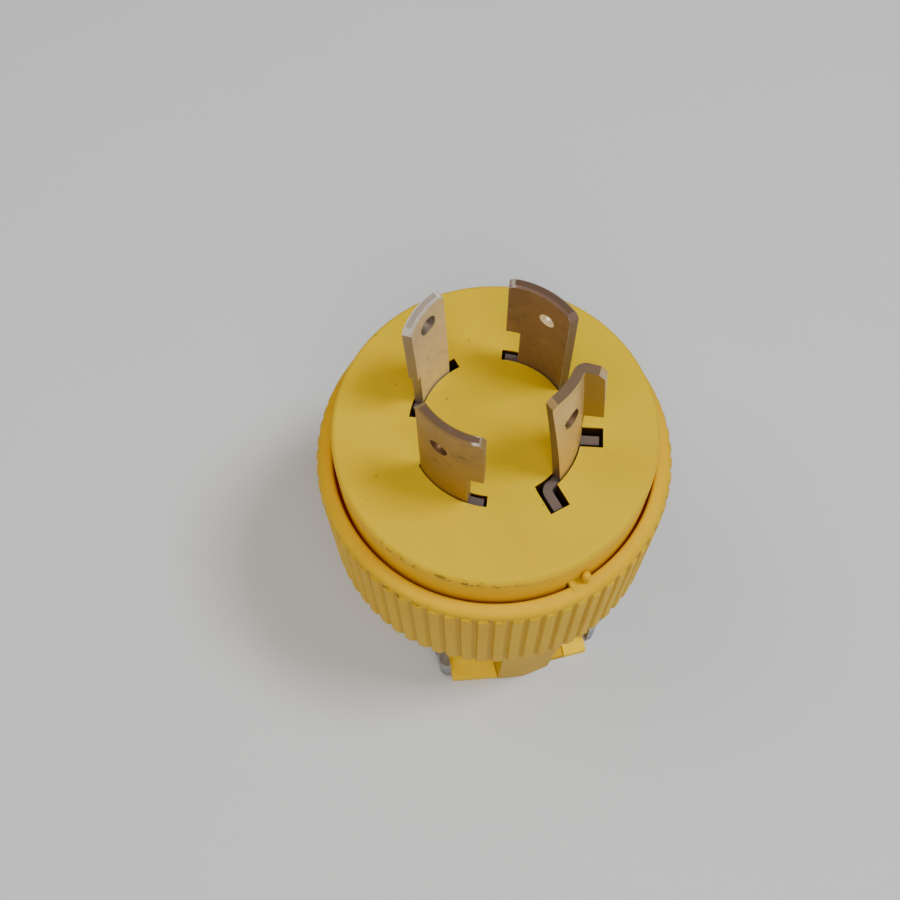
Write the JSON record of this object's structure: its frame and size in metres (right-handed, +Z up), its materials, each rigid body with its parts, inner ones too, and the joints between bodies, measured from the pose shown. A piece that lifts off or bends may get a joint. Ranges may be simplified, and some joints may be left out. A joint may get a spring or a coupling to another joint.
{
  "type": "locking power plug",
  "caption": "Round locking power plug in worn yellow nylon, with hooked brass blades, a ribbed collar and a steel-barred cord clamp at its foot.",
  "frame": {"origin": "middle of the foot, on the surface the plug stands on", "axes": "+Z up the plug's axis, towards the tips of the blades; the clamp screws lie along X, their heads at +X"},
  "size_m": [0.0576, 0.0576, 0.083],
  "materials": {
    "yellow_nylon": "satin moulded nylon, scuffed at the edges",
    "black_phenolic": "matt moulded",
    "browned_brass": "dark tarnish",
    "ochre_brass": "ochre tarnish",
    "plated_brass": "dull nickel plate over brass",
    "gold_brass": "dull gold, stained",
    "zinc_steel": "dull zinc plate"
  },
  "bodies": {
    "root": {"face_disc": "yellow_nylon", "outer_shell": "yellow_nylon", "terminal_block": "black_phenolic", "blade_line_x": "browned_brass", "blade_line_y": "ochre_brass", "blade_neutral": "plated_brass", "blade_ground": "gold_brass", "terminal_screw_x": "zinc_steel", "terminal_screw_y": "zinc_steel", "terminal_screw_neutral": "zinc_steel", "terminal_screw_ground": "zinc_steel", "pressure_plate_x": "zinc_steel", "pressure_plate_y": "zinc_steel", "pressure_plate_neutral": "zinc_steel", "pressure_plate_ground": "zinc_steel", "clamp_jaw_left": "yellow_nylon", "clamp_jaw_right": "yellow_nylon", "clamp_bar_left": "zinc_steel", "clamp_bar_right": "zinc_steel", "clamp_screw_front": "zinc_steel", "clamp_screw_back": "zinc_steel", "assembly_screw_left": "zinc_steel", "assembly_screw_right": "zinc_steel"}
  },
  "joints": []
}
